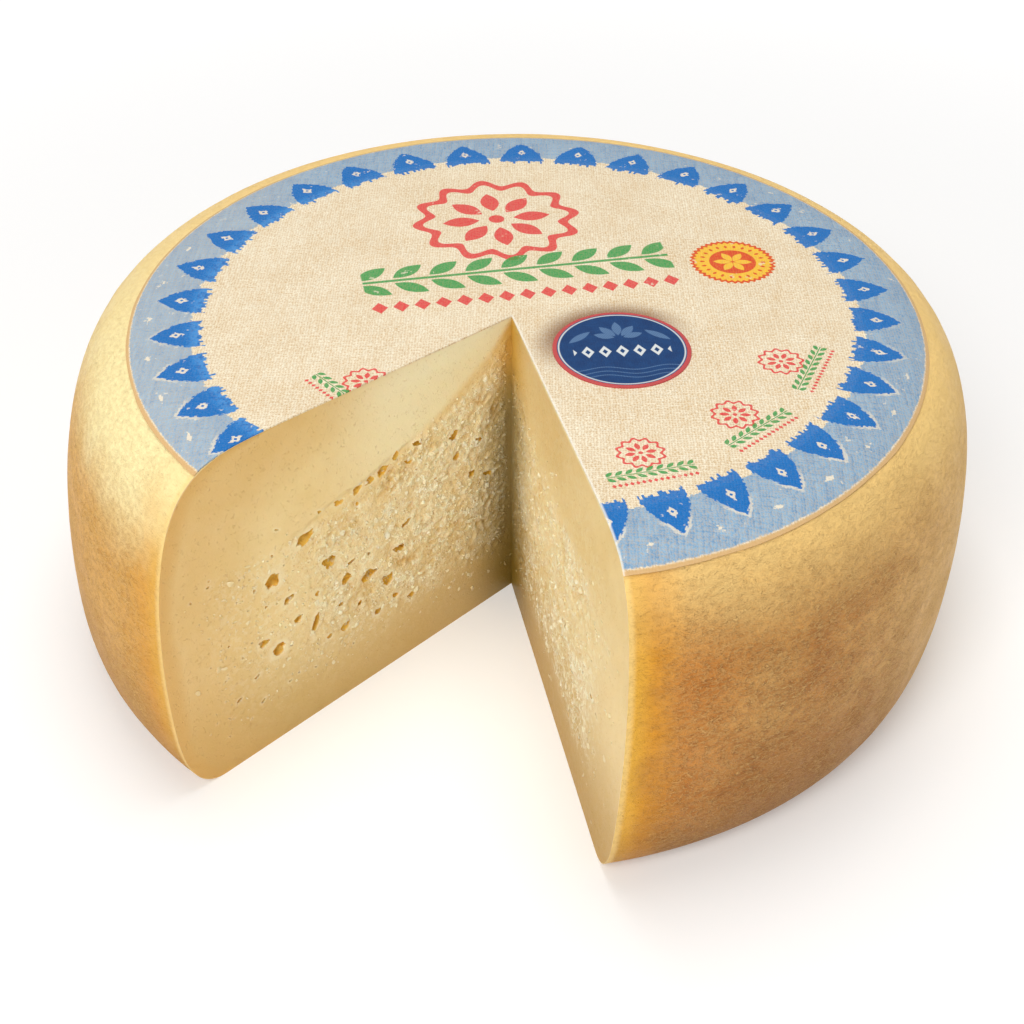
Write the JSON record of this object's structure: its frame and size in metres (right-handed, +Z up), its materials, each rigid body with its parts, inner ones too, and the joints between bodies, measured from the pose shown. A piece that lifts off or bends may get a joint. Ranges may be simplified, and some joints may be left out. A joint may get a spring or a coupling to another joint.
{
  "type": "cut cheese wheel",
  "caption": "Wheel of asiago-style cheese with one wedge cut out, golden rind, pale holed paste and a printed label with a round badge on top.",
  "frame": {"origin": "middle of the wheel's footprint box, on the surface it stands on", "axes": "+Z up through the wheel from its level underside to its printed top; the missing wedge opens towards -X and -Y"},
  "size_m": [0.3578, 0.3592, 0.1377],
  "materials": {
    "cheese": "satin rind, matte crumbly paste",
    "label": "printed woven label, matt",
    "badge": "printed label, satin"
  },
  "bodies": {
    "root": {"cheese_wheel": "cheese", "top_label": "label", "round_badge": "badge"}
  },
  "joints": []
}
